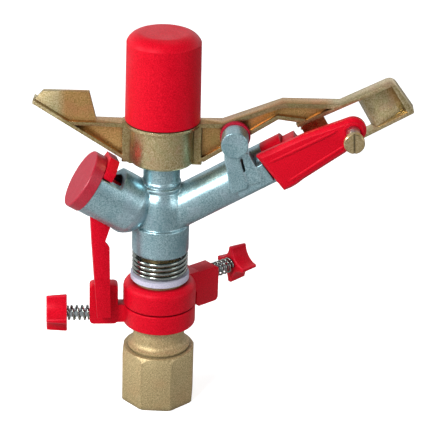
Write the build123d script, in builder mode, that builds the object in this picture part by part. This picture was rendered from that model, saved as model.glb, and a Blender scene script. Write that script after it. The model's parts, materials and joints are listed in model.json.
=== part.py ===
from build123d import *
import os
from math import atan2, cos, radians, sin

# Part-circle impact sprinkler for a 3/4" riser.  Millimetres, +Z up.
# The origin is on the riser axis, in the bottom face of the brass inlet.
# +X is the side that the nozzle throws to, -Y is the side of the anvil post.

os.makedirs("parts", exist_ok=True)

# ---- driving dimensions -------------------------------------------------
FIT = 0.05                 # radial play of a screw in its hole
RUN = 0.10                 # radial play of a turning fit

# brass inlet: female G 3/4 thread (minor diameter 24.12) in an octagon
THREAD_R = 24.12 / 2
THREAD_LEN = 15.0
OCTAGON_AF = 32.0
OCTAGON_TOP = 26.2
NECK_R = 11.65
NECK_TOP = 61.0
CHAMBER_R = 11.0
SHOULDER_Z = 22.0          # the seal stack pushes up against this face

# brass bearing stem that carries the head
STEM_R = 8.3
STEM_BORE_R = 6.2
FLANGE_R = 10.6
FLANGE_Z = 16.5
FLANGE_T = 2.3

# seat washer and pressure spring between the neck and the casting
SEAT_R = 13.2
SEAT_T = 2.4
SPRING_TOP = 74.0
SPRING_R = 12.6
SPRING_WIRE = 1.8

# zinc casting: barrel, shoulder and hammer post on the riser axis
BARREL_R = 12.75
BARREL_TOP = 88.0
WAIST_R = 11.8
POST_R = 8.1
POST_TOP = 116.8

# nozzle arm: a tube rising to +X, in the XZ plane
NOZZLE_Z = 90.6            # height where its axis crosses the riser axis
NOZZLE_ANGLE = 31.0
TUBE_R = 9.25
TUBE_END = 55.0
TUBE_BORE_R = 6.2
JET_R = 2.75

# lever housing: a round boss that rises to the left and towards the front
BOSS_Z = 87.8
BOSS_ANGLE = 31.9
BOSS_AZIMUTH = 190.0
BOSS_R = 13.15
BOSS_BORE_R = 9.6
BOSS_START = 15.5
BOSS_END = 36.9
COVER_T = 5.2
COVER_R = 13.5
TRIP_REST = 7.0            # the lever leans this many degrees to the front at rest

# hammer arm
ARM_HALF = 4.0             # half the depth of the flanges
WEB_HALF = 1.25            # half the thickness of the web
FLANGE_W = 1.5             # thickness of the flanges
HUB_R = 14.5
HUB_RIM_R = 16.5
HUB_BOTTOM = 117.6
HUB_TOP = 136.4
PIN_R = 4.0

# red cap over the hammer spring
CAP_R = 16.45
CAP_TOP_R = 16.1
CAP_BOTTOM = 136.7
CAP_TOP = 176.3
CAP_WALL = 1.9

# sector collars on the neck, each with a stop block and a thumb-screw
COLLAR_R = 16.45
COLLAR_BORE_R = NECK_R + RUN
LOWER_Z = (38.9, 48.0)
UPPER_Z = (48.5, 59.4)
LOWER_AZIMUTH = 186.5
UPPER_AZIMUTH = 42.0
BLOCK_IN = 18.8
BLOCK_OUT = 31.6
LOWER_BLOCK_HALF = 3.1
UPPER_BLOCK_HALF = 4.1
LOWER_BLOCK_Z = (38.4, 57.8)
UPPER_BLOCK_Z = (41.0, 58.6)
LOWER_SCREW_Z = 42.7
UPPER_SCREW_Z = 54.5
SCREW_R = 1.95
KNOB_IN = 41.8
KNOB_T = 9.3
KNOB_R = 9.1
KNOB_DIP = 4.9             # radius between two points of the star
KNOB_TAPER = 3.0           # degrees; the outer end is the smaller one
POINT_HALF = 0.13          # half the angle of a blunt point, in radians

# anvil post on the nozzle arm and jet-breaker screw in its holder
ANVIL_X = 31.8
ANVIL_Z = 132.3
ANVIL_R = 5.9
BUMPER_R = 6.6
EYE_S = 95.5               # place of the screw along the nozzle axis
EYE_R = 5.7
BREAKER_R = 2.0

# ---- working planes -----------------------------------------------------
UP = Vector(0, 0, 1)
FRONT = Plane(origin=(0, 0, 0), x_dir=(1, 0, 0), z_dir=(0, -1, 0))

na = radians(NOZZLE_ANGLE)
JET = Vector(cos(na), 0, sin(na))
NOZZLE_O = Vector(0, 0, NOZZLE_Z)
NOZZLE_PLATE = Plane(origin=NOZZLE_O, x_dir=JET, z_dir=(0, -1, 0))

ba = radians(BOSS_AZIMUTH)
OUT = Vector(cos(ba), sin(ba), 0)
SIDE = Vector(-sin(ba), cos(ba), 0)
bs = radians(BOSS_ANGLE)
BOSS_DIR = OUT * cos(bs) + UP * sin(bs)
BOSS_UP = UP * cos(bs) - OUT * sin(bs)
BOSS_O = Vector(0, 0, BOSS_Z)
# local x runs along the boss, local y up across it, local z to the back
BOSS_SECTION = Plane(origin=BOSS_O, x_dir=BOSS_DIR, z_dir=SIDE * -1)
# local x is the distance from the riser axis, local y the height
LEVER_SECTION = Plane(origin=(0, 0, 0), x_dir=OUT, z_dir=SIDE * -1)


def along_nozzle(s):
    """Plane square to the nozzle axis, s along it from the riser axis."""
    return Plane(origin=NOZZLE_O + JET * s, x_dir=(0, 1, 0), z_dir=JET)


def along_boss(p):
    """Plane square to the boss axis, p along it from the riser axis."""
    return Plane(origin=BOSS_O + BOSS_DIR * p, x_dir=SIDE, z_dir=BOSS_DIR)


def radial_plane(azimuth, distance, height):
    """Plane that looks outwards from the riser axis; local y is up."""
    a = radians(azimuth)
    out = Vector(cos(a), sin(a), 0)
    across = Vector(-sin(a), cos(a), 0)
    return Plane(origin=out * distance + UP * height, x_dir=across, z_dir=out)


def save(part, name):
    part.label = name
    export_step(part, f"parts/{name}.step")


def turned_ring(r_out, r_in, z0, z1):
    """Plain round sleeve or washer on the riser axis."""
    with BuildPart() as ring:
        with BuildSketch(Plane.XY.offset(z0)):
            Circle(r_out)
            Circle(r_in, mode=Mode.SUBTRACT)
        extrude(amount=z1 - z0)
    return ring.part


def boss_to_lever(p, q):
    """Boss coordinates (along, across) as (distance from riser axis, height)."""
    return (p * cos(bs) - q * sin(bs), BOSS_Z + p * sin(bs) + q * cos(bs))


# ---- inlet_housing: octagon, flared cone and neck in one brass piece --------
CONE_Z = 27.0
CONE_R = 14.2
CONE_TOP = 31.2
CORNER_R = OCTAGON_AF / 2 / cos(radians(22.5))
with BuildPart() as inlet_housing:
    with BuildSketch():
        RegularPolygon(radius=OCTAGON_AF / 2, side_count=8, major_radius=False, rotation=22.5)
    extrude(amount=OCTAGON_TOP)
    # the corners are turned off at both ends
    with BuildSketch(Plane.XZ):
        with BuildLine():
            Polyline((0, 0), (CORNER_R - 0.4, 0), (CORNER_R, 0.4), (CORNER_R, OCTAGON_TOP - 2.2),
                     (OCTAGON_AF / 2, OCTAGON_TOP), (0, OCTAGON_TOP), (0, 0))
        make_face()
    revolve(axis=Axis.Z, mode=Mode.INTERSECT)
    with BuildSketch(Plane.XY.offset(OCTAGON_TOP)):
        Circle(CONE_R - 0.6)
    extrude(amount=CONE_Z - OCTAGON_TOP)
    with BuildSketch(Plane.XZ):
        with BuildLine():
            Polyline((0, CONE_Z), (CONE_R, CONE_Z), (CONE_R, CONE_Z + 0.8))
            Spline((CONE_R, CONE_Z + 0.8), (CONE_R - 1.7, CONE_Z + 2.0), (NECK_R, CONE_TOP))
            Polyline((NECK_R, CONE_TOP), (NECK_R, NECK_TOP), (0, NECK_TOP), (0, CONE_Z))
        make_face()
    revolve(axis=Axis.Z)
    with BuildSketch(Plane.XZ):
        with BuildLine():
            Polyline((0, 0), (THREAD_R, 0), (THREAD_R, THREAD_LEN),
                     (CHAMBER_R, THREAD_LEN + 1.0), (CHAMBER_R, SHOULDER_Z),
                     (STEM_R + RUN, SHOULDER_Z), (STEM_R + RUN, NECK_TOP), (0, NECK_TOP), (0, 0))
        make_face()
    revolve(axis=Axis.Z, mode=Mode.SUBTRACT)
save(inlet_housing.part, "inlet_housing")

# ---- bearing stem and the seals under the shoulder -----------------------
STEM_TOP = 86.0
with BuildPart() as bearing_stem:
    with BuildSketch(Plane.XY.offset(FLANGE_Z)):
        Circle(FLANGE_R)
    extrude(amount=FLANGE_T)
    with BuildSketch(Plane.XY.offset(FLANGE_Z)):
        Circle(STEM_R)
    extrude(amount=STEM_TOP - FLANGE_Z)
    with BuildSketch(Plane.XY.offset(FLANGE_Z)):
        Circle(STEM_BORE_R)
    extrude(amount=STEM_TOP - FLANGE_Z, mode=Mode.SUBTRACT)
save(bearing_stem.part, "bearing_stem")

seal_bottom = FLANGE_Z + FLANGE_T
seal_step = (SHOULDER_Z - seal_bottom) / 4
seal_levels = {
    "lower_slip_washer": (seal_bottom, seal_bottom + seal_step),
    "rubber_seal": (seal_bottom + seal_step, SHOULDER_Z - seal_step),
    "upper_slip_washer": (SHOULDER_Z - seal_step, SHOULDER_Z),
}
for seal_name, (z_low, z_high) in seal_levels.items():
    save(turned_ring(FLANGE_R, STEM_R + FIT, z_low, z_high), seal_name)

save(turned_ring(SEAT_R, STEM_R + FIT, NECK_TOP, NECK_TOP + SEAT_T), "seat_washer")
save(turned_ring(SPRING_R, SPRING_R - SPRING_WIRE, NECK_TOP + SEAT_T, SPRING_TOP), "pressure_spring")

# ---- sprinkler_body: the zinc casting --------------------------------------
SHOULDER_TOP = 104.6
ANVIL_FACE = 17.0
ANVIL_BACK = 6.6
PAD_START = 38.0
PAD_FRONT = 12.0
DOME = 8.5                 # how far the housing's inner end bulges
WINDOW_START = 26.6
WINDOW_LEVEL = 7.5
SLOT_P = (18.0, 30.5)
SLOT_W = (-1.5, 6.3)
with BuildPart() as sprinkler_body:
    # barrel, waist, rounded shoulder, two cast beads and the hammer post
    with BuildSketch(Plane.XZ):
        with BuildLine():
            Polyline((0, SPRING_TOP), (BARREL_R - 0.8, SPRING_TOP), (BARREL_R, SPRING_TOP + 0.8),
                     (BARREL_R, BARREL_TOP - 0.6), (WAIST_R, BARREL_TOP), (WAIST_R, 96.0))
            Spline((WAIST_R, 96.0), (WAIST_R - 1.2, 101.4), (8.9, SHOULDER_TOP))
            Polyline((8.9, SHOULDER_TOP), (9.3, SHOULDER_TOP + 0.5), (9.3, SHOULDER_TOP + 1.6),
                     (POST_R, SHOULDER_TOP + 2.2), (POST_R, SHOULDER_TOP + 2.6),
                     (8.7, SHOULDER_TOP + 3.0), (8.7, SHOULDER_TOP + 3.6),
                     (POST_R, SHOULDER_TOP + 4.2), (POST_R, POST_TOP), (0, POST_TOP), (0, SPRING_TOP))
        make_face()
    revolve(axis=Axis.Z)
    # nozzle arm
    with BuildSketch(along_nozzle(0)):
        Circle(TUBE_R)
    extrude(amount=TUBE_END)
    # flat pad on the front of the arm, below the anvil post
    with BuildSketch(NOZZLE_PLATE):
        with BuildLine():
            Polyline((PAD_START, -4.7), (TUBE_END - 0.1, -4.7), (TUBE_END - 0.9, 4.7), (PAD_START, 4.7),
                     (PAD_START, -4.7))
        make_face()
    extrude(amount=PAD_FRONT)
    # anvil post: a leaning plate, a thinner gusset beside it and the round anvil
    with BuildSketch(FRONT.offset(7.0)):
        with BuildLine():
            Polyline((27.2, 130.0), (27.5, 124.0), (31.4, 108.0), (38.2, 111.4), (34.4, 124.0),
                     (34.8, 130.0), (27.2, 130.0))
        make_face()
    extrude(amount=6.2)
    with BuildSketch(FRONT.offset(ANVIL_BACK + 0.2)):
        with BuildLine():
            Polyline((33.8, 128.0), (35.2, 124.5), (36.7, 119.2), (35.9, 112.0), (45.0, 114.4),
                     (37.8, 127.0), (33.8, 128.0))
        make_face()
    extrude(amount=5.6)
    with BuildSketch(FRONT.offset(ANVIL_BACK)):
        with Locations((ANVIL_X, ANVIL_Z)):
            Circle(ANVIL_R)
    extrude(amount=ANVIL_FACE - ANVIL_BACK)
    # lever housing with a domed inner end
    with BuildSketch(BOSS_SECTION):
        with BuildLine():
            Polyline((BOSS_END, 0), (BOSS_END, BOSS_R), (BOSS_START, BOSS_R))
            ThreePointArc((BOSS_START, BOSS_R), (BOSS_START - DOME * 0.75, BOSS_R * 0.66),
                          (BOSS_START - DOME, 0))
            Line((BOSS_START - DOME, 0), (BOSS_END, 0))
        make_face()
    revolve(axis=Axis(BOSS_O, BOSS_DIR))
    # hollow of the housing, the window for the lever's head and the slot for its arm
    with BuildSketch(along_boss(17.0)):
        Circle(BOSS_BORE_R)
    extrude(amount=BOSS_END - 17.0, mode=Mode.SUBTRACT)
    with BuildSketch(BOSS_SECTION):
        with Locations(((WINDOW_START + BOSS_END) / 2 + 1.0, WINDOW_LEVEL + 10.0)):
            Rectangle(BOSS_END - WINDOW_START + 2.0, 20.0)
    extrude(amount=20.0, both=True, mode=Mode.SUBTRACT)
    with BuildSketch(BOSS_SECTION.offset(-SLOT_W[1])):
        with Locations(((SLOT_P[0] + SLOT_P[1]) / 2, -12.0)):
            Rectangle(SLOT_P[1] - SLOT_P[0], 10.0)
    extrude(amount=SLOT_W[1] - SLOT_W[0], mode=Mode.SUBTRACT)
    # waterway: socket for the stem, then up and along the nozzle arm
    with BuildSketch(Plane.XY.offset(SPRING_TOP)):
        Circle(STEM_R)
    extrude(amount=STEM_TOP - SPRING_TOP, mode=Mode.SUBTRACT)
    with BuildSketch(Plane.XY.offset(STEM_TOP)):
        Circle(STEM_BORE_R)
    extrude(amount=8.0, mode=Mode.SUBTRACT)
    with BuildSketch(along_nozzle(2.0)):
        Circle(TUBE_BORE_R)
    extrude(amount=TUBE_END, mode=Mode.SUBTRACT)
    # blind socket for the hammer pin and a seat for the trip pin
    with BuildSketch(Plane.XY.offset(106.0)):
        Circle(PIN_R)
    extrude(amount=POST_TOP - 106.0, mode=Mode.SUBTRACT)
    with BuildSketch(along_boss(12.0)):
        Circle(2.0)
    extrude(amount=5.5, mode=Mode.SUBTRACT)
save(sprinkler_body.part, "sprinkler_body")

# ---- hammer pin, washers and bushes ----------------------------------------
PIN_TOP = 171.5
with BuildPart() as hammer_pin:
    with BuildSketch(Plane.XY.offset(106.0)):
        Circle(PIN_R)
    extrude(amount=PIN_TOP - 106.0)
    chamfer(hammer_pin.edges().group_by(Axis.Z)[-1], length=0.6)
save(hammer_pin.part, "hammer_pin")

BUSH_R = 5.6
BUSH_FLANGE_R = 7.2
save(turned_ring(7.2, PIN_R + FIT, POST_TOP, HUB_BOTTOM), "thrust_washer")
HUB_TUBE_TOP = 132.0
bush_ends = {
    "lower_hammer_bush": (HUB_BOTTOM + 0.05, HUB_BOTTOM + 1.2, HUB_BOTTOM + 6.0),
    "upper_hammer_bush": (HUB_TUBE_TOP + 1.2, HUB_TUBE_TOP, HUB_TUBE_TOP - 5.0),
}
for bush_name, (z_face, z_step, z_end) in bush_ends.items():
    with BuildPart() as bush:
        with BuildSketch(Plane.XZ):
            with BuildLine():
                Polyline((PIN_R + FIT, z_face), (BUSH_FLANGE_R, z_face), (BUSH_FLANGE_R, z_step),
                         (BUSH_R, z_step), (BUSH_R, z_end), (PIN_R + FIT, z_end), (PIN_R + FIT, z_face))
            make_face()
        revolve(axis=Axis.Z)
    save(bush.part, bush_name)

# ---- hammer_arm: cup-shaped hub, counterweight wing and drive arm ------------
LEFT_TOP = 135.2
FRAME_HALF = 8.4           # half the height of the frame, across the jet
BAR = 1.5                  # thickness of the frame's bars
FRAME_START = 74.0
VANE_END = 85.0
SPOON_START = 101.5
FRAME_END = 120.4
SPOON_END = 118.0

left_tip = (-56.3, 143.0)
left_root = (-14.0, 117.0)
wing_slope = atan2(left_tip[1] - left_root[1], left_root[0] - left_tip[0])
rise = FLANGE_W / cos(wing_slope)


def on_wing(x):
    """Height of the underside of the left arm's sloping flange."""
    return left_root[1] + (left_root[0] - x) * (left_tip[1] - left_root[1]) / (left_root[0] - left_tip[0])


def nozzle_point(s, t):
    """Point in the XZ plane, s along the jet and t above it."""
    return (s * cos(na) - t * sin(na), NOZZLE_Z + s * sin(na) + t * cos(na))


with BuildPart() as hammer_arm:
    # web of the left arm with its counterweight plate
    with BuildSketch(FRONT):
        with BuildLine():
            Polyline((-12.0, on_wing(-14.0)), left_root, left_tip, (-51.8, 148.0), (-32.0, 148.3),
                     (-28.8, LEFT_TOP), (-12.0, LEFT_TOP), (-12.0, on_wing(-14.0)))
        make_face()
    extrude(amount=WEB_HALF, both=True)
    # flanges of the left arm: a level one and a sloping one
    with BuildSketch(FRONT):
        with BuildLine():
            Polyline((-12.0, LEFT_TOP), (-40.6, LEFT_TOP), (-38.0, LEFT_TOP - FLANGE_W),
                     (-12.0, LEFT_TOP - FLANGE_W), (-12.0, LEFT_TOP))
        make_face()
        with BuildLine():
            Polyline((-12.0, 117.0), left_root, left_tip, (left_tip[0] + 0.3, left_tip[1] + 1.6),
                     (-14.0, 117.0 + rise), (-12.0, 117.0 + rise), (-12.0, 117.0))
        make_face()
    extrude(amount=ARM_HALF, both=True)
    # web and flanges of the right arm, up to the frame
    top_line = [(12.0, 136.4), (26.0, 136.9), (51.5, 147.4), (76.4, 147.9)]
    low_line = [(12.0, 119.0), (18.5, 119.1), (50.0, 140.2), (61.5, 138.9)]
    corner_a = nozzle_point(FRAME_START, FRAME_HALF - BAR)
    with BuildSketch(FRONT):
        with BuildLine():
            Polyline(*top_line, nozzle_point(FRAME_START + 4.0, FRAME_HALF - BAR), corner_a,
                     *reversed(low_line), top_line[0])
        make_face()
    extrude(amount=WEB_HALF, both=True)
    with BuildSketch(FRONT):
        with BuildLine():
            Polyline(*top_line, (73.5, 146.2), (51.8, 145.6), (26.2, 135.1), (12.0, 134.8), top_line[0])
        make_face()
        with BuildLine():
            Polyline(*low_line, (61.5, 140.8), (49.6, 142.0), (18.0, 121.0), (12.0, 120.9), low_line[0])
        make_face()
    extrude(amount=ARM_HALF, both=True)
    # frame round the jet: two bars that draw together, the end wall, a thin vane behind the jet
    outer = [(FRAME_START, 11.0), (FRAME_END - 0.9, FRAME_HALF + 0.2), (FRAME_END + 0.9, -FRAME_HALF),
             (FRAME_START, -FRAME_HALF)]
    inner = [(FRAME_START, 11.0 - BAR), (SPOON_END, FRAME_HALF - BAR), (SPOON_END + 0.6, BAR - FRAME_HALF),
             (FRAME_START, BAR - FRAME_HALF)]
    with BuildSketch(NOZZLE_PLATE) as frame_outline:
        with BuildLine():
            Polyline(*outer, outer[0])
        make_face()
        fillet(frame_outline.vertices().sort_by(Axis.X)[-2], radius=3.6)
        fillet(frame_outline.vertices().sort_by(Axis.X)[-1], radius=0.8)
        with BuildLine():
            Polyline((FRAME_START - 1.0, inner[0][1]), *inner[1:3], (FRAME_START - 1.0, inner[3][1]),
                     (FRAME_START - 1.0, inner[0][1]))
        make_face(mode=Mode.SUBTRACT)
    extrude(amount=ARM_HALF, both=True)
    with BuildSketch(NOZZLE_PLATE.offset(-ARM_HALF)):
        with BuildLine():
            Polyline((FRAME_START, 11.0), (VANE_END, 10.3), (VANE_END, -FRAME_HALF),
                     (FRAME_START, -FRAME_HALF), (FRAME_START, 11.0))
        make_face()
    extrude(amount=1.2)
    # curved spoon: a wedge edge, a hollow face and a deep back
    spoon_plane = Plane(origin=NOZZLE_O, x_dir=JET, z_dir=(-sin(na), 0, cos(na)))
    with BuildSketch(spoon_plane.offset(-FRAME_HALF + 0.5)):
        with BuildLine():
            Polyline((SPOON_END, 2.6), (SPOON_END, ARM_HALF), (SPOON_START, ARM_HALF),
                     (SPOON_START, 3.0), (SPOON_START + 2.4, -2.4))
            ThreePointArc((SPOON_START + 2.4, -2.4), (SPOON_START + 9.5, 0.4), (SPOON_END, 2.6))
        make_face()
    extrude(amount=2 * FRAME_HALF - 1.0)
    # hub: cup with a thin rim, pads where the arms join, inner sleeve for the bushes
    with BuildSketch(Plane.XZ):
        with BuildLine():
            Polyline((0, HUB_BOTTOM), (HUB_R - 1.0, HUB_BOTTOM), (HUB_R, HUB_BOTTOM + 1.0),
                     (HUB_R, HUB_TOP - 2.4), (HUB_RIM_R, HUB_TOP - 1.4), (HUB_RIM_R, HUB_TOP),
                     (0, HUB_TOP), (0, HUB_BOTTOM))
        make_face()
    revolve(axis=Axis.Z)
    for side in (-1, 1):
        with BuildSketch(Plane.XY.offset(HUB_BOTTOM)):
            with Locations((side * 15.2, 0)):
                RectangleRounded(4.6, 2 * ARM_HALF, 0.8)
        extrude(amount=HUB_TOP - HUB_BOTTOM - 0.8)
    with BuildSketch(Plane.XZ):
        with BuildLine():
            Polyline((8.0, 121.6), (10.9, 121.6), (10.9, HUB_TOP), (0, HUB_TOP), (0, HUB_TUBE_TOP),
                     (8.0, HUB_TUBE_TOP), (8.0, 121.6))
        make_face()
    revolve(axis=Axis.Z, mode=Mode.SUBTRACT)
    with BuildSketch(Plane.XY.offset(HUB_BOTTOM)):
        Circle(BUSH_R)
    extrude(amount=HUB_TUBE_TOP - HUB_BOTTOM, mode=Mode.SUBTRACT)
    with BuildSketch(Plane.XY.offset(HUB_BOTTOM)):
        Circle(BUSH_FLANGE_R)
    extrude(amount=1.2, mode=Mode.SUBTRACT)
save(hammer_arm.part, "hammer_arm")

# ---- hammer spring, its retainer and the red cap -----------------------------
HAMMER_SPRING_R = 10.4
RETAINER_Z = 160.0
save(turned_ring(HAMMER_SPRING_R, HAMMER_SPRING_R - 1.8, 121.9, RETAINER_Z - 0.2), "hammer_spring")
with BuildPart() as spring_retainer:
    with BuildSketch(Plane.XY.offset(RETAINER_Z)):
        Circle(12.6)
        Circle(PIN_R, mode=Mode.SUBTRACT)
    extrude(amount=2.4)
    with BuildSketch(Plane.XY.offset(RETAINER_Z + 2.4)):
        RegularPolygon(radius=6.5, side_count=6, major_radius=False)
        Circle(PIN_R, mode=Mode.SUBTRACT)
    extrude(amount=4.0)
save(spring_retainer.part, "spring_retainer")

CROWN_R = 9.6              # flat top of the cap
SHOULDER = 4.2             # height of its rounded shoulder
CAVITY_TOP = CAP_TOP - SHOULDER - 0.4
with BuildPart() as spring_cap:
    with BuildSketch(Plane.XZ):
        with BuildLine():
            Polyline((CROWN_R, CAP_TOP), (0, CAP_TOP), (0, CAP_BOTTOM), (CAP_R, CAP_BOTTOM),
                     (CAP_TOP_R, CAP_TOP - SHOULDER))
            ThreePointArc((CAP_TOP_R, CAP_TOP - SHOULDER), (13.7, CAP_TOP - 1.2), (CROWN_R, CAP_TOP))
        make_face()
    revolve(axis=Axis.Z)
    fillet(spring_cap.edges().group_by(Axis.Z)[0], radius=0.5)
    with BuildSketch(Plane.XY.offset(CAP_BOTTOM)):
        Circle(CAP_R - CAP_WALL)
    extrude(amount=CAVITY_TOP - CAP_BOTTOM, mode=Mode.SUBTRACT)
    with BuildSketch(Plane.XY.offset(CAVITY_TOP)):
        Circle(7.0)
    extrude(amount=-(CAVITY_TOP - RETAINER_Z - 6.6))
    with BuildSketch(Plane.XY.offset(PIN_TOP)):
        Circle(PIN_R)
    extrude(amount=-(PIN_TOP - RETAINER_Z - 6.0), mode=Mode.SUBTRACT)
save(spring_cap.part, "spring_cap")

# ---- anvil bumper, stream straightener, nozzle -------------------------------
with BuildPart() as anvil_bumper:
    with BuildSketch(FRONT.offset(ARM_HALF + 0.1)):
        with Locations((ANVIL_X, ANVIL_Z)):
            Circle(BUMPER_R)
    extrude(amount=ANVIL_BACK - ARM_HALF - 0.1)
    fillet(anvil_bumper.edges(), radius=0.5)
save(anvil_bumper.part, "anvil_bumper")

with BuildPart() as stream_straightener:
    with BuildSketch(along_nozzle(24.0)):
        Circle(TUBE_BORE_R)
        Circle(TUBE_BORE_R - 0.8, mode=Mode.SUBTRACT)
        Rectangle(2 * TUBE_BORE_R - 0.8, 0.8)
        Rectangle(0.8, 2 * TUBE_BORE_R - 0.8)
    extrude(amount=18.0)
save(stream_straightener.part, "stream_straightener")

NOZZLE_HEX_START = 64.4
NOZZLE_HEX_END = 70.4
NOZZLE_TIP = 72.0
with BuildPart() as nozzle:
    with BuildSketch(along_nozzle(44.0)):
        Circle(TUBE_BORE_R)
    extrude(amount=NOZZLE_HEX_START - 44.0)
    with BuildSketch(along_nozzle(NOZZLE_HEX_START)):
        RegularPolygon(radius=6.6, side_count=6, major_radius=False, rotation=0)
    extrude(amount=NOZZLE_HEX_END - NOZZLE_HEX_START)
    with BuildSketch(along_nozzle(NOZZLE_HEX_END)):
        Circle(4.6)
    extrude(amount=NOZZLE_TIP - NOZZLE_HEX_END)
    with BuildSketch(NOZZLE_PLATE):
        with BuildLine():
            Polyline((44.0, 0), (44.0, 5.0), (66.0, JET_R), (NOZZLE_TIP, JET_R), (NOZZLE_TIP, 0), (44.0, 0))
        make_face()
    revolve(axis=Axis(NOZZLE_O, JET), mode=Mode.SUBTRACT)
save(nozzle.part, "nozzle")

# ---- jet_breaker_holder: clamp ring with a tapering plate and an eye -----------
HOLDER_FRONT = 14.0
HOLDER_BACK = 10.0
with BuildPart() as jet_breaker_holder:
    with BuildSketch(along_nozzle(TUBE_END)):
        Circle(TUBE_R)
        Circle(TUBE_BORE_R + 0.02, mode=Mode.SUBTRACT)
    extrude(amount=NOZZLE_HEX_START - 0.1 - TUBE_END)
    with BuildSketch(NOZZLE_PLATE.offset(HOLDER_BACK)):
        with BuildLine():
            Polyline((53.6, 9.4), (76.0, 8.4), (EYE_S + 0.9, EYE_R))
            ThreePointArc((EYE_S + 0.9, EYE_R), (EYE_S + EYE_R, 0), (EYE_S - 1.6, -EYE_R + 0.2))
            Polyline((EYE_S - 1.6, -EYE_R + 0.2), (88.0, -7.3), (66.0, -9.7))
            ThreePointArc((66.0, -9.7), (61.5, -10.5), (56.6, -10.3))
            Polyline((56.6, -10.3), (53.6, 9.4))
        make_face()
    extrude(amount=HOLDER_FRONT - HOLDER_BACK)
    outer_edges = jet_breaker_holder.edges().filter_by_position(Axis.Y, -HOLDER_FRONT - 0.01,
                                                                -HOLDER_FRONT + 0.01)
    chamfer(outer_edges, length=1.5)
    # strip that ties the plate to the clamp ring
    with BuildSketch(NOZZLE_PLATE.offset(6.5)):
        with Locations(((TUBE_END + NOZZLE_HEX_START) / 2, 0)):
            Rectangle(NOZZLE_HEX_START - TUBE_END - 0.4, 13.0)
    extrude(amount=HOLDER_BACK - 6.5 + 0.2)
    with BuildSketch(NOZZLE_PLATE.offset(HOLDER_FRONT)):
        with Locations((EYE_S, 0)):
            Circle(4.4)
    extrude(amount=0.8)
    with BuildSketch(NOZZLE_PLATE.offset(HOLDER_BACK)):
        with Locations((EYE_S, 0)):
            Circle(3.0)
    extrude(amount=HOLDER_FRONT - HOLDER_BACK + 1.0, mode=Mode.SUBTRACT)
save(jet_breaker_holder.part, "jet_breaker_holder")

SLEEVE_FRONT = 21.3
with BuildPart() as breaker_sleeve:
    with BuildSketch(NOZZLE_PLATE.offset(HOLDER_BACK)):
        with Locations((EYE_S, 0)):
            Circle(3.0)
            Circle(BREAKER_R + FIT, mode=Mode.SUBTRACT)
    extrude(amount=SLEEVE_FRONT - HOLDER_BACK)
save(breaker_sleeve.part, "breaker_sleeve")

HEAD_BACK = 25.0
HEAD_FRONT = 28.2
BREAKER_TIP = 6.2
with BuildPart() as breaker_screw:
    with BuildSketch(NOZZLE_PLATE.offset(BREAKER_TIP)):
        with Locations((EYE_S, 0)):
            Circle(BREAKER_R)
    extrude(amount=HEAD_BACK - BREAKER_TIP - 0.01)
save(breaker_screw.part, "breaker_screw")
with BuildPart() as breaker_head:
    with BuildSketch(NOZZLE_PLATE.offset(HEAD_BACK)):
        with Locations((EYE_S, 0)):
            Circle(4.45)
    extrude(amount=HEAD_FRONT - HEAD_BACK)
    chamfer(breaker_head.edges(), length=0.4)
    with BuildSketch(NOZZLE_PLATE.offset(HEAD_FRONT)):
        with Locations((EYE_S, 0)):
            Rectangle(0.8, 10.0, rotation=-NOZZLE_ANGLE + 4.0)
    extrude(amount=-0.9, mode=Mode.SUBTRACT)
save(breaker_head.part, "breaker_head")

# ---- trip lever in the housing -------------------------------------------------
HUB_P = (18.0, 34.0)
HEAD_P = (32.0, 36.6)
LEVER_HUB_R = 6.4
TRIP_PIN_R = 2.0
with BuildPart() as trip_pin:
    with BuildSketch(along_boss(12.0)):
        Circle(TRIP_PIN_R)
    extrude(amount=BOSS_END + 3.0 - 12.0)
save(trip_pin.part, "trip_pin")

with BuildPart() as trip_lever_straight:
    with BuildSketch(along_boss(HUB_P[0])):
        Circle(LEVER_HUB_R)
    extrude(amount=HUB_P[1] - HUB_P[0])
    # head of the lever, through the window and wide towards the front
    with BuildSketch(along_boss(HEAD_P[0])):
        with BuildLine():
            Polyline((-3.7, 4.0), (-3.7, 8.8), (-6.4, 11.3), (-5.1, 15.3), (5.1, 15.3), (10.4, 10.5),
                     (10.9, 6.8), (7.0, 7.1), (3.7, 7.1), (3.7, 4.0), (-3.7, 4.0))
        make_face()
    extrude(amount=HEAD_P[1] - HEAD_P[0])
    # arm down to the foot, with a notch below the housing
    with BuildSketch(LEVER_SECTION):
        with BuildLine():
            Polyline((23.1, 44.2), (23.3, 77.6), (25.3, 80.2), (22.9, 87.2), boss_to_lever(19.6, -3.0),
                     boss_to_lever(28.6, -3.0), (31.6, 91.7), (31.2, 82.2), (29.0, 44.2), (23.1, 44.2))
        make_face()
    extrude(amount=1.9, both=True)
    with BuildSketch(along_boss(HUB_P[0])):
        Circle(TRIP_PIN_R + FIT)
    extrude(amount=HUB_P[1] - HUB_P[0], mode=Mode.SUBTRACT)
trip_axis = Axis(BOSS_O, BOSS_DIR)
trip_lever = trip_lever_straight.part.rotate(trip_axis, TRIP_REST)
save(trip_lever, "trip_lever")

with BuildPart() as boss_cover:
    with BuildSketch(along_boss(BOSS_END)):
        Circle(COVER_R)
    extrude(amount=COVER_T)
    with BuildSketch(along_boss(BOSS_END)):
        Circle(TRIP_PIN_R)
    extrude(amount=3.0, mode=Mode.SUBTRACT)
    cover_front = boss_cover.faces().sort_by(Axis(BOSS_O, BOSS_DIR))[-1]
    fillet(cover_front.edges(), radius=0.7)
save(boss_cover.part, "boss_cover")

with BuildPart() as trip_spring:
    with BuildSketch(along_boss(34.2)):
        Circle(3.9)
        Circle(2.9, mode=Mode.SUBTRACT)
    extrude(amount=BOSS_END - 34.3)
save(trip_spring.part, "trip_spring")


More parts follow.
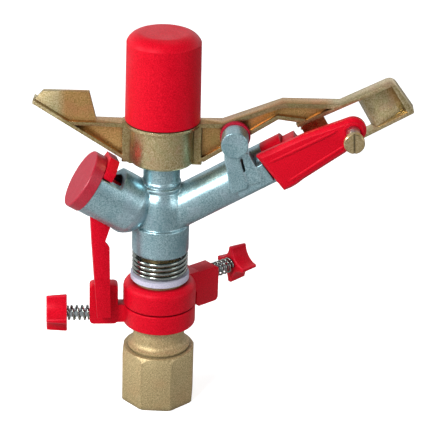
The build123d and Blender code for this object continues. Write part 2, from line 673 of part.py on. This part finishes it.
# ---- sector collars ----------------------------------------------------------
def make_collar(ring_z, block_z, block_half, azimuth, screw_z, top_round):
    """Ring on the neck with a stop block that stands out at one azimuth."""
    with BuildPart() as collar:
        with BuildSketch(Plane.XY.offset(ring_z[0])):
            Circle(COLLAR_R)
        extrude(amount=ring_z[1] - ring_z[0])
        fillet(collar.edges().group_by(Axis.Z)[-1], radius=top_round)
        fillet(collar.edges().group_by(Axis.Z)[0], radius=0.8)
        middle = (ring_z[0] + ring_z[1]) / 2
        with BuildSketch(radial_plane(azimuth, 12.0, middle)):
            Rectangle(2 * block_half, ring_z[1] - ring_z[0] - 0.6)
        extrude(amount=BLOCK_IN - 11.0)
        side_plane = Plane(origin=(0, 0, 0), x_dir=radial_plane(azimuth, 0, 0).z_dir,
                           z_dir=radial_plane(azimuth, 0, 0).x_dir * -1)
        with BuildSketch(side_plane):
            with Locations(((BLOCK_IN + BLOCK_OUT) / 2, (block_z[0] + block_z[1]) / 2)):
                RectangleRounded(BLOCK_OUT - BLOCK_IN, block_z[1] - block_z[0], 2.0)
        extrude(amount=block_half, both=True)
        with BuildSketch(Plane.XY.offset(ring_z[0])):
            Circle(COLLAR_BORE_R)
        extrude(amount=ring_z[1] - ring_z[0], mode=Mode.SUBTRACT)
        with BuildSketch(radial_plane(azimuth, 9.0, screw_z)):
            Circle(SCREW_R + FIT)
        extrude(amount=30.0, mode=Mode.SUBTRACT)
    return collar.part


def make_screw(azimuth, screw_z):
    """Shank of a thumb-screw, from the neck out into the knob."""
    with BuildPart() as shank:
        with BuildSketch(radial_plane(azimuth, NECK_R + 0.15, screw_z)):
            Circle(SCREW_R)
        extrude(amount=KNOB_IN - NECK_R - 0.16)
    return shank.part


def make_knob(azimuth, screw_z):
    """Four-pointed star knob with hollow sides."""
    with BuildPart() as knob:
        with BuildSketch(radial_plane(azimuth, KNOB_IN, screw_z)):
            with BuildLine():
                for i in range(4):
                    tip = radians(90 * i)
                    dip = radians(90 * i + 45)
                    start, end, following = [
                        (KNOB_R * cos(angle), KNOB_R * sin(angle))
                        for angle in (tip - POINT_HALF, tip + POINT_HALF, tip + radians(90) - POINT_HALF)
                    ]
                    Line(start, end)
                    ThreePointArc(end, (KNOB_DIP * cos(dip), KNOB_DIP * sin(dip)), following)
            make_face()
        extrude(amount=KNOB_T, taper=KNOB_TAPER)
    return knob.part


collar_sides = {
    "lower": (LOWER_Z, LOWER_BLOCK_Z, LOWER_BLOCK_HALF, LOWER_AZIMUTH, LOWER_SCREW_Z, 0.8),
    "upper": (UPPER_Z, UPPER_BLOCK_Z, UPPER_BLOCK_HALF, UPPER_AZIMUTH, UPPER_SCREW_Z, 3.4),
}
for side_name, (ring_z, block_z, block_half, azimuth, screw_z, top_round) in collar_sides.items():
    save(make_collar(ring_z, block_z, block_half, azimuth, screw_z, top_round), f"{side_name}_collar")
    save(make_screw(azimuth, screw_z), f"{side_name}_thumb_screw")
    save(make_knob(azimuth, screw_z), f"{side_name}_knob")
    with BuildPart() as lock_spring:
        with BuildSketch(radial_plane(azimuth, BLOCK_OUT, screw_z)):
            Circle(3.6)
            Circle(2.8, mode=Mode.SUBTRACT)
        extrude(amount=KNOB_IN - BLOCK_OUT)
    save(lock_spring.part, f"{side_name}_lock_spring")
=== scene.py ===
import json
from math import cos, pi, radians, sin, tau

import bmesh
import bpy
from mathutils import Matrix, Vector


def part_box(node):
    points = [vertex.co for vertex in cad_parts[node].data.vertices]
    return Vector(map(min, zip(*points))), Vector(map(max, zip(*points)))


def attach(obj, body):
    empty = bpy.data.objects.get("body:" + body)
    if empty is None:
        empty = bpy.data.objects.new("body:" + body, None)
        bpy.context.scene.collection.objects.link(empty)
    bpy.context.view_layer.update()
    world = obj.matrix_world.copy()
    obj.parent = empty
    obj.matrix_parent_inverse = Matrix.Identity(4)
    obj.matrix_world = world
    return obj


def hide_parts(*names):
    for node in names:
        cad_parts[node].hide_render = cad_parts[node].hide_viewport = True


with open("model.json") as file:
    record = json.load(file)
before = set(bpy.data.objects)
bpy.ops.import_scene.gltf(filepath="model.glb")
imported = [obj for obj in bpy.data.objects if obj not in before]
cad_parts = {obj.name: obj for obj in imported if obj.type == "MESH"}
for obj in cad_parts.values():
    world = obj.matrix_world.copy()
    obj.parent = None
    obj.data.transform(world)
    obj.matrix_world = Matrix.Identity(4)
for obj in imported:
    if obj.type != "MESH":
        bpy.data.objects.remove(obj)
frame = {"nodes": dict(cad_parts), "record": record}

# Part-circle impact sprinkler.  Metres; +Z up the riser axis, +X to the nozzle's side, -Y to the camera.

MM = 0.001
SPECKLE_STOPS = (0.34, 0.5, 0.66)     # noise levels of the dark, base and light colours
CLOUD_RANGE = (0.35, 0.65)            # noise levels between the lowest and highest roughness
CORNER_SHADE_REACH = 3 * MM                  # how far the painted shade of a corner reaches over its faces
ARM_CENTRE_X = 14 * MM                # middle of the hammer arm's length
ARM_FADE = (56 * MM, 60 * MM)         # painted shade of the arm fades out over this distance from its middle
ARM_SHADE_STRENGTH = 0.85
SHARP_ANGLE = radians(40)

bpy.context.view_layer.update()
collection = bpy.context.scene.collection


# ---- materials --------------------------------------------------------------
def map_range(nodes, links, source, from_range, to_range):
    """Map a value from one range to another and return the result's socket."""
    node = nodes.new("ShaderNodeMapRange")
    for name, value in zip(("From Min", "From Max", "To Min", "To Max"), (*from_range, *to_range)):
        node.inputs[name].default_value = value
    links.new(source, node.inputs["Value"])
    return node.outputs["Result"]


def paint_arm_shade(nodes, links, place, colour, channel, rim):
    """Multiply the colour by painted shade inside the arm's channels and by other painted shade on its rims.
    """
    axes = nodes.new("ShaderNodeSeparateXYZ")
    links.new(place.outputs["Object"], axes.inputs["Vector"])

    def distance(axis, centre):
        shift = nodes.new("ShaderNodeMath")
        shift.operation = "SUBTRACT"
        links.new(axes.outputs[axis], shift.inputs[0])
        shift.inputs[1].default_value = centre
        size = nodes.new("ShaderNodeMath")
        size.operation = "ABSOLUTE"
        links.new(shift.outputs["Value"], size.inputs[0])
        return size.outputs["Value"]

    def fade(source, fade_range, strong):
        return map_range(nodes, links, source, fade_range, (strong, 0.0))

    def product(first, second):
        node = nodes.new("ShaderNodeMath")
        node.operation = "MULTIPLY"
        links.new(first, node.inputs[0])
        links.new(second, node.inputs[1])
        return node.outputs["Value"]

    # painted shade: a darker, oranger colour in the recessed channels and a darker colour on the front rims
    depth = distance("Y", 0.0)
    along = fade(distance("X", ARM_CENTRE_X), ARM_FADE, 1.0)
    in_channel = fade(depth, (3.3 * MM, 3.7 * MM), ARM_SHADE_STRENGTH)
    on_rim = fade(distance("Y", -4.3 * MM), (0.7 * MM, 0.9 * MM), ARM_SHADE_STRENGTH)
    masks = ((product(in_channel, along), channel), (product(on_rim, along), rim))
    for mask, tint in masks:
        shade_mix = nodes.new("ShaderNodeMix")
        shade_mix.data_type = "RGBA"
        shade_mix.blend_type = "MULTIPLY"
        links.new(mask, shade_mix.inputs["Factor"])
        links.new(colour, shade_mix.inputs[6])
        shade_mix.inputs[7].default_value = (*tint, 1)
        colour = shade_mix.outputs[2]
    return colour


def build_material(name, base, dark, light, grain, metallic, roughness, spread, bump, specular=0.5,
                   tints=(), highlight=(1, 1, 1), corner_shade=0.0, arm_shades=()):
    """Principled material: grain-sized speckle, broad cloudy variation and a fine bump.

    grain is the speckle's size and spread the clouds' size, in metres; corner_shade is the strength of
    painted shade that darkens the corners; arm_shades are the painted shade colours of the hammer arm's
    channels and of its rims."""
    material = bpy.data.materials.new(name)
    material.use_nodes = True
    nodes, links = material.node_tree.nodes, material.node_tree.links
    shader = nodes["Principled BSDF"]
    place = nodes.new("ShaderNodeTexCoord")

    def noise(size, detail, rough=0.5):
        node = nodes.new("ShaderNodeTexNoise")
        node.inputs["Scale"].default_value = 1 / size
        node.inputs["Detail"].default_value = detail
        node.inputs["Roughness"].default_value = rough
        links.new(place.outputs["Object"], node.inputs["Vector"])
        return node

    def ramp(source, stops):
        node = nodes.new("ShaderNodeValToRGB")
        links.new(source, node.inputs["Fac"])
        while len(node.color_ramp.elements) < len(stops):
            node.color_ramp.elements.new(0.5)
        for element, (at, colour) in zip(node.color_ramp.elements, stops):
            element.position = at
            element.color = (*colour, 1)
        return node.outputs["Color"]

    speckle = noise(grain, 3, 0.6)
    clouds = noise(spread, 2)
    colour = ramp(speckle.outputs["Fac"], list(zip(SPECKLE_STOPS, (dark, base, light))))
    for tint, low, high, amount, size in tints:
        patch = noise(size, 2)
        mask = map_range(nodes, links, patch.outputs["Fac"], (low, high), (0.0, amount))
        mix = nodes.new("ShaderNodeMix")
        mix.data_type = "RGBA"
        links.new(mask, mix.inputs["Factor"])
        links.new(colour, mix.inputs[6])
        mix.inputs[7].default_value = (*tint, 1)
        colour = mix.outputs[2]
    # painted shade on the hammer arm's channels and rims
    if arm_shades:
        colour = paint_arm_shade(nodes, links, place, colour, *arm_shades)
    # painted shade: ambient occlusion darkens the colour in corners and in gaps between parts
    if corner_shade:
        corner = nodes.new("ShaderNodeAmbientOcclusion")
        corner.samples = 6
        corner.inputs["Distance"].default_value = CORNER_SHADE_REACH
        depth = map_range(nodes, links, corner.outputs["AO"], (0.25, 0.85), (1.0 - corner_shade, 1.0))
        shade = nodes.new("ShaderNodeVectorMath")
        shade.operation = "SCALE"
        links.new(colour, shade.inputs["Vector"])
        links.new(depth, shade.inputs["Scale"])
        colour = shade.outputs["Vector"]
    links.new(colour, shader.inputs["Base Color"])
    gloss = map_range(nodes, links, clouds.outputs["Fac"], CLOUD_RANGE, roughness)
    links.new(gloss, shader.inputs["Roughness"])
    relief = nodes.new("ShaderNodeBump")
    relief.inputs["Strength"].default_value = 1.0
    relief.inputs["Distance"].default_value = bump
    links.new(speckle.outputs["Fac"], relief.inputs["Height"])
    links.new(relief.outputs["Normal"], shader.inputs["Normal"])
    shader.inputs["Metallic"].default_value = metallic
    shader.inputs["Specular IOR Level"].default_value = specular
    shader.inputs["Specular Tint"].default_value = (*highlight, 1)
    return material


RED = build_material(
    "red_moulded_plastic", base=(0.70, 0.003, 0.016), dark=(0.55, 0.001, 0.010), light=(0.82, 0.007, 0.028),
    grain=0.5 * MM, metallic=0.0, roughness=(0.36, 0.46), spread=9 * MM, bump=0.02 * MM, specular=0.45,
    highlight=(1.0, 0.16, 0.22), corner_shade=0.55)
# painted highlight: a lighter, glossier red on the rounded edges of the red parts
RED_EDGE_HIGHLIGHT = build_material(
    "red_plastic_edge_highlight", base=(0.80, 0.012, 0.035), dark=(0.66, 0.006, 0.022), light=(0.88, 0.03, 0.06),
    grain=0.5 * MM, metallic=0.0, roughness=(0.28, 0.36), spread=9 * MM, bump=0.01 * MM, specular=0.5,
    highlight=(1.0, 0.35, 0.4))
RED_GLOSS = build_material(
    "red_cover_plastic", base=(0.46, 0.010, 0.030), dark=(0.38, 0.006, 0.022), light=(0.56, 0.018, 0.045),
    grain=0.5 * MM, metallic=0.0, roughness=(0.34, 0.42), spread=7 * MM, bump=0.015 * MM, specular=0.8,
    highlight=(1.0, 0.8, 0.85), corner_shade=0.4)
RED_RUBBER = build_material(
    "red_rubber", base=(0.46, 0.004, 0.03), dark=(0.38, 0.003, 0.02), light=(0.56, 0.008, 0.04),
    grain=0.7 * MM, metallic=0.0, roughness=(0.6, 0.75), spread=5 * MM, bump=0.02 * MM, specular=0.3)
ZINC = build_material(
    "zinc_die_casting", base=(0.38, 0.58, 0.63), dark=(0.22, 0.38, 0.43), light=(0.58, 0.76, 0.80),
    grain=0.6 * MM, metallic=0.85, roughness=(0.30, 0.40), spread=12 * MM, bump=0.045 * MM,
    tints=[((0.20, 0.38, 0.44), 0.48, 0.72, 0.5, 14 * MM), ((0.62, 0.74, 0.84), 0.52, 0.74, 0.4, 10 * MM)],
    corner_shade=0.8)
PASSIVATED = build_material(
    "yellow_passivated_casting", base=(0.66, 0.52, 0.27), dark=(0.42, 0.31, 0.13), light=(0.84, 0.72, 0.45),
    grain=0.6 * MM, metallic=0.92, roughness=(0.26, 0.36), spread=10 * MM, bump=0.03 * MM,
    tints=[((0.78, 0.44, 0.30), 0.50, 0.70, 0.4, 8 * MM), ((0.50, 0.50, 0.24), 0.5, 0.70, 0.4, 5 * MM)],
    corner_shade=0.6, arm_shades=((0.92, 0.62, 0.36), (0.56, 0.52, 0.42)))
# painted highlight: a brighter, glossier colour on the hammer arm's rounded edges
PASSIVATED_EDGE_HIGHLIGHT = build_material(
    "passivated_edge_highlight", base=(0.90, 0.76, 0.52), dark=(0.70, 0.54, 0.32), light=(1.0, 0.90, 0.70),
    grain=0.6 * MM, metallic=0.95, roughness=(0.18, 0.26), spread=6 * MM, bump=0.01 * MM)
BRASS_CAST = build_material(
    "sand_cast_brass", base=(0.52, 0.40, 0.20), dark=(0.33, 0.25, 0.11), light=(0.72, 0.58, 0.32),
    grain=0.55 * MM, metallic=0.45, roughness=(0.45, 0.56), spread=8 * MM, bump=0.05 * MM,
    tints=[((0.60, 0.36, 0.18), 0.5, 0.75, 0.35, 9 * MM)], corner_shade=0.6)
BRASS_TURNED = build_material(
    "turned_brass", base=(0.66, 0.50, 0.26), dark=(0.55, 0.40, 0.19), light=(0.80, 0.64, 0.38),
    grain=0.5 * MM, metallic=0.95, roughness=(0.24, 0.36), spread=4 * MM, bump=0.01 * MM, corner_shade=0.8)
STEEL_BRIGHT = build_material(
    "bright_spring_wire", base=(0.36, 0.40, 0.37), dark=(0.26, 0.30, 0.27), light=(0.50, 0.54, 0.50),
    grain=0.5 * MM, metallic=1.0, roughness=(0.14, 0.24), spread=4 * MM, bump=0.006 * MM, corner_shade=0.9)
STEEL_PLAIN = build_material(
    "zinc_plated_steel", base=(0.50, 0.56, 0.58), dark=(0.42, 0.48, 0.50), light=(0.60, 0.66, 0.68),
    grain=0.5 * MM, metallic=1.0, roughness=(0.25, 0.36), spread=4 * MM, bump=0.008 * MM)
NYLON = build_material(
    "white_nylon", base=(0.62, 0.62, 0.76), dark=(0.54, 0.54, 0.70), light=(0.72, 0.72, 0.84),
    grain=0.6 * MM, metallic=0.0, roughness=(0.35, 0.45), spread=6 * MM, bump=0.01 * MM)
BLACK_RUBBER = build_material(
    "black_rubber", base=(0.02, 0.02, 0.02), dark=(0.015, 0.015, 0.015), light=(0.03, 0.03, 0.03),
    grain=0.5 * MM, metallic=0.0, roughness=(0.6, 0.75), spread=4 * MM, bump=0.02 * MM)

SLOT_MATERIALS = {
    "brass_inlet": BRASS_CAST, "brass_stem": BRASS_TURNED, "zinc_casting": ZINC, "brass_arm": PASSIVATED,
    "red_plastic": RED, "red_rubber": RED_RUBBER, "steel_bright": STEEL_BRIGHT, "steel_plain": STEEL_PLAIN,
    "brass_head": BRASS_TURNED, "nylon_white": NYLON, "black_rubber": BLACK_RUBBER, "acetal_white": NYLON,
}
NODE_SLOT = {entry["node"]: entry["material_slot"] for entry in frame["record"]["subparts"]}
NODE_BODY = {
    node: body for body, members in frame["record"]["behaviour"]["bodies"].items() for node in members
}

for node_name, node_object in frame["nodes"].items():
    node_object.data.materials.clear()
    node_object.data.materials.append(SLOT_MATERIALS[NODE_SLOT[node_name]])
frame["nodes"]["boss_cover"].data.materials[0] = RED_GLOSS


# ---- rounded copies of CAD nodes -------------------------------------------------
def stand_for(piece, node):
    """Let a piece ride on a CAD node's body in the node's place."""
    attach(piece, NODE_BODY[node])
    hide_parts(node)


def add_piece(name, mesh, node):
    """Put a finished mesh in the scene in place of a CAD node."""
    piece = bpy.data.objects.new(name, mesh)
    collection.objects.link(piece)
    mesh.materials.clear()
    mesh.materials.append(SLOT_MATERIALS[NODE_SLOT[node]])
    stand_for(piece, node)
    return piece


def shade_smooth(mesh):
    for polygon in mesh.polygons:
        polygon.use_smooth = True


def apply_modifiers(piece):
    depsgraph = bpy.context.evaluated_depsgraph_get()
    finished = bpy.data.meshes.new_from_object(piece.evaluated_get(depsgraph))
    piece.modifiers.clear()
    piece.data = finished


def clean_copy(node):
    """The node's mesh with its flat facets joined into whole faces."""
    mesh = frame["nodes"][node].data.copy()
    work = bmesh.new()
    work.from_mesh(mesh)
    bmesh.ops.remove_doubles(work, verts=work.verts, dist=0.002 * MM)
    bmesh.ops.dissolve_limit(work, angle_limit=radians(0.6), verts=work.verts, edges=work.edges)
    work.to_mesh(mesh)
    work.free()
    return mesh


def rounded(node, width, segments=2, angle=35, edge_highlight=None):
    """Replace a CAD node by a copy with rounded edges; an edge material paints a highlight on the bevels."""
    piece = add_piece(node + "_rounded", clean_copy(node), node)
    if edge_highlight:
        piece.data.materials.append(edge_highlight)
    bevel = piece.modifiers.new("edges", "BEVEL")
    bevel.width = width
    bevel.segments = segments
    bevel.limit_method = "ANGLE"
    bevel.angle_limit = radians(angle)
    bevel.use_clamp_overlap = True
    bevel.material = 1 if edge_highlight else -1
    apply_modifiers(piece)
    shade_smooth(piece.data)
    piece.data.set_sharp_from_angle(angle=SHARP_ANGLE)
    return piece


def melted(node, voxel, passes):
    """Replace a CAD node by a copy with the soft edges and fillets of a casting."""
    piece = add_piece(node + "_cast", frame["nodes"][node].data.copy(), node)
    remesh = piece.modifiers.new("skin", "REMESH")
    remesh.mode = "VOXEL"
    remesh.voxel_size = voxel
    smooth = piece.modifiers.new("soften", "SMOOTH")
    smooth.factor = 0.5
    smooth.iterations = passes
    apply_modifiers(piece)
    shade_smooth(piece.data)
    return piece


melted("sprinkler_body", 0.36 * MM, 3)
rounded("hammer_arm", 0.35 * MM, edge_highlight=PASSIVATED_EDGE_HIGHLIGHT)
for node_name in ("lower_collar", "upper_collar", "trip_lever", "jet_breaker_holder", "nozzle"):
    rounded(node_name, 0.5 * MM, edge_highlight=RED_EDGE_HIGHLIGHT)
for node_name in ("lower_knob", "upper_knob"):
    rounded(node_name, 0.6 * MM, 3, edge_highlight=RED_EDGE_HIGHLIGHT)
rounded("inlet_housing", 0.25 * MM)


# ---- ribs on the plate of the jet breaker's holder ------------------------------
def plate_ribs(name, node, runs, width, height):
    """Low rounded ribs on the front face of a plate; runs hold (x, z) ends, level with the face."""
    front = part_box(node)[0].y + 0.8 * MM
    work = bmesh.new()
    for start, end in runs:
        start, end = Vector((start[0], 0, start[1])), Vector((end[0], 0, end[1]))
        across = (end - start).normalized().cross(Vector((0, 1, 0)))
        rings = []
        for share, swell in ((0.0, 0.15), (0.06, 0.8), (0.5, 1.0), (0.94, 0.8), (1.0, 0.15)):
            middle = start.lerp(end, share)
            ring = []
            for k in range(9):
                angle = pi * k / 8
                ring.append(work.verts.new(middle + across * (width * swell * cos(angle))
                                           + Vector((0, front + 0.1 * MM - height * swell * sin(angle), 0))))
            rings.append(ring)
        for ring, following in zip(rings, rings[1:]):
            for k in range(9):
                work.faces.new((ring[k], ring[(k + 1) % 9], following[(k + 1) % 9], following[k]))
        work.faces.new(rings[0])
        work.faces.new(list(reversed(rings[-1])))
    bmesh.ops.recalc_face_normals(work, faces=work.faces)
    mesh = bpy.data.meshes.new(name)
    work.to_mesh(mesh)
    work.free()
    shade_smooth(mesh)
    piece = bpy.data.objects.new(name, mesh)
    collection.objects.link(piece)
    mesh.materials.append(RED)
    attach(piece, NODE_BODY[node])


NOZZLE_ORIGIN = Vector((0, 0, 90.6 * MM))
NOZZLE_ANGLE = radians(31)


def on_nozzle(along, across):
    """Point (x, z) at millimetres along and across the nozzle's axis."""
    return (NOZZLE_ORIGIN.x + (along * cos(NOZZLE_ANGLE) - across * sin(NOZZLE_ANGLE)) * MM,
            NOZZLE_ORIGIN.z + (along * sin(NOZZLE_ANGLE) + across * cos(NOZZLE_ANGLE)) * MM)


plate_ribs("holder_ribs", "jet_breaker_holder",
           [(on_nozzle(57.0, 4.6), on_nozzle(90.0, 3.6)), (on_nozzle(60.0, -7.2), on_nozzle(90.5, -3.8))],
           0.9 * MM, 0.55 * MM)


# ---- springs ------------------------------------------------------------------
def coil(name, axis_point, axis_dir, radius, wire, start, end, turns, closed_turns=0.75, first=None):
    """Helical wire spring with closed ends, from start to end along the axis.

    first is the direction in which the wire begins."""
    steps = 28
    axis_dir = axis_dir.normalized()
    side = (first or axis_dir.orthogonal()).normalized()
    other = axis_dir.cross(side)
    curve = bpy.data.curves.new(name, "CURVE")
    curve.dimensions = "3D"
    curve.bevel_depth = wire
    curve.bevel_resolution = 3
    curve.use_fill_caps = True
    total = int(turns * steps)
    spline = curve.splines.new("POLY")
    spline.points.add(total)
    length = end - start - 2 * wire
    flat = closed_turns * 2 * wire * 1.02
    for i in range(total + 1):
        turn = i / steps
        if turn < closed_turns:
            height = flat * turn / closed_turns
        elif turn > turns - closed_turns:
            height = length - flat * (turns - turn) / closed_turns
        else:
            share = (turn - closed_turns) / (turns - 2 * closed_turns)
            height = flat + (length - 2 * flat) * share
        angle = tau * turn
        point = (axis_point + axis_dir * (start + wire + height)
                 + side * (radius * cos(angle)) + other * (radius * sin(angle)))
        spline.points[i].co = (*point, 1)
    holder = bpy.data.objects.new(name, curve)
    collection.objects.link(holder)
    depsgraph = bpy.context.evaluated_depsgraph_get()
    mesh = bpy.data.meshes.new_from_object(holder.evaluated_get(depsgraph))
    bpy.data.objects.remove(holder)
    piece = bpy.data.objects.new(name, mesh)
    collection.objects.link(piece)
    mesh.materials.clear()
    mesh.materials.append(STEEL_BRIGHT)
    shade_smooth(mesh)
    return piece


def axial_spring(name, node, wire, turns):
    """Spring on the riser axis in the room of its CAD sleeve."""
    low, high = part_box(node)
    outer = (high.x - low.x) / 2
    piece = coil(name, Vector((0, 0, 0)), Vector((0, 0, 1)), outer - wire, wire, low.z, high.z, turns,
                 first=Vector((0.3, 1, 0)))
    stand_for(piece, node)


def radial_spring(name, node, wire, turns, closed_turns):
    """Spring round a thumb-screw, between the stop block and the knob."""
    low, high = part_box(node)
    middle = (low + high) / 2
    out = Vector((middle.x, middle.y, 0)).normalized()
    outer = (high.z - low.z) / 2
    mesh = frame["nodes"][node].data
    ends = [(vertex.co - middle).dot(out) for vertex in mesh.vertices]
    piece = coil(name, middle, out, outer - wire, wire, min(ends), max(ends), turns, closed_turns)
    stand_for(piece, node)


for side in ("lower", "upper"):
    radial_spring(side + "_lock_coil", side + "_lock_spring", 0.45 * MM, 4.4, 0.4)
axial_spring("pressure_spring_coil", "pressure_spring", 0.84 * MM, 4.4)
axial_spring("hammer_spring_coil", "hammer_spring", 0.9 * MM, 14)


# ---- stage, light, camera --------------------------------------------------------
LIGHT_TARGET = Vector((0, 0, 0.1))


def area_light(name, place, size, energy):
    lamp = bpy.data.lights.new(name, "AREA")
    lamp.shape = "DISK"
    lamp.size = size
    lamp.energy = energy
    holder = bpy.data.objects.new(name, lamp)
    collection.objects.link(holder)
    holder.location = place
    holder.rotation_euler = (LIGHT_TARGET - Vector(place)).to_track_quat("-Z", "Y").to_euler()


floor_mesh = bpy.data.meshes.new("floor")
half = 3.0
floor_corners = [(-half, -half, 0), (half, -half, 0), (half, half, 0), (-half, half, 0)]
floor_mesh.from_pydata(floor_corners, [], [(0, 1, 2, 3)])
floor = bpy.data.objects.new("floor", floor_mesh)
floor.location.z = -0.2 * MM
collection.objects.link(floor)
floor_paint = bpy.data.materials.new("pale_floor")
floor_paint.use_nodes = True
floor_nodes, floor_links = floor_paint.node_tree.nodes, floor_paint.node_tree.links
seen = floor_nodes["Principled BSDF"]
seen.inputs["Base Color"].default_value = (0.92, 0.92, 0.92, 1)
seen.inputs["Roughness"].default_value = 0.9
seen.inputs["Emission Color"].default_value = (1, 1, 1, 1)
seen.inputs["Emission Strength"].default_value = 0.7
# the object sees a darker floor than the camera does, with painted light graded from brighter on the left to
# dimmer on the right
mirrored = floor_nodes.new("ShaderNodeBsdfDiffuse")
floor_place = floor_nodes.new("ShaderNodeTexCoord")
floor_axes = floor_nodes.new("ShaderNodeSeparateXYZ")
floor_links.new(floor_place.outputs["Object"], floor_axes.inputs["Vector"])
floor_shade = map_range(floor_nodes, floor_links, floor_axes.outputs["X"], (-0.15, 0.25), (0.55, 0.30))
floor_links.new(floor_shade, mirrored.inputs["Color"])
choice = floor_nodes.new("ShaderNodeMixShader")
path = floor_nodes.new("ShaderNodeLightPath")
floor_links.new(path.outputs["Is Camera Ray"], choice.inputs["Fac"])
floor_links.new(mirrored.outputs["BSDF"], choice.inputs[1])
floor_links.new(seen.outputs["BSDF"], choice.inputs[2])
floor_links.new(choice.outputs["Shader"], floor_nodes["Material Output"].inputs["Surface"])
floor_mesh.materials.append(floor_paint)

area_light("key", (-0.45, -0.74, 0.70), 0.34, 8)
area_light("top", (0.1, 0.30, 1.1), 0.5, 0.8)
area_light("left", (-0.90, -0.22, 0.55), 0.35, 4)
area_light("fill", (0.85, -0.45, 0.35), 0.5, 1.2)

world = bpy.data.worlds.new("studio")
bpy.context.scene.world = world
world.use_nodes = True
sky_nodes, sky_links = world.node_tree.nodes, world.node_tree.links
sky = sky_nodes["Background"]
sky_place = sky_nodes.new("ShaderNodeTexCoord")
sky_axes = sky_nodes.new("ShaderNodeSeparateXYZ")
sky_links.new(sky_place.outputs["Generated"], sky_axes.inputs["Vector"])
# brighter towards the back, dimmer overhead
sky_shade = map_range(sky_nodes, sky_links, sky_axes.outputs["Y"], (-0.3, 0.7), (0.50, 0.85))
zenith = map_range(sky_nodes, sky_links, sky_axes.outputs["Z"], (0.25, 0.80), (1.0, 0.12))
sky_level = sky_nodes.new("ShaderNodeMath")
sky_level.operation = "MULTIPLY"
sky_links.new(sky_shade, sky_level.inputs[0])
sky_links.new(zenith, sky_level.inputs[1])
sky_links.new(sky_level.outputs["Value"], sky.inputs["Strength"])
sky.inputs["Color"].default_value = (0.95, 0.97, 1.0, 1)

scene = bpy.context.scene
scene.view_settings.view_transform = "Standard"
camera_data = bpy.data.cameras.new("camera")
camera_data.sensor_width = 36
camera_data.lens = 147.35
camera_data.clip_start = 0.05
camera = bpy.data.objects.new("camera", camera_data)
collection.objects.link(camera)
elevation, azimuth, roll = radians(24.3), radians(1.2), radians(1.9)
camera_distance = 0.7811
target = Vector((0.02403, 0, 0.09214))
back = Vector((sin(azimuth) * cos(elevation), -cos(azimuth) * cos(elevation), sin(elevation)))
right = Vector((cos(azimuth), sin(azimuth), 0))
up = back.cross(right)
rolled_right = right * cos(roll) + up * sin(roll)
rolled_up = up * cos(roll) - right * sin(roll)
turn = Matrix((rolled_right, rolled_up, back)).transposed().to_4x4()
camera.matrix_world = Matrix.Translation(target + back * camera_distance) @ turn
scene.camera = camera
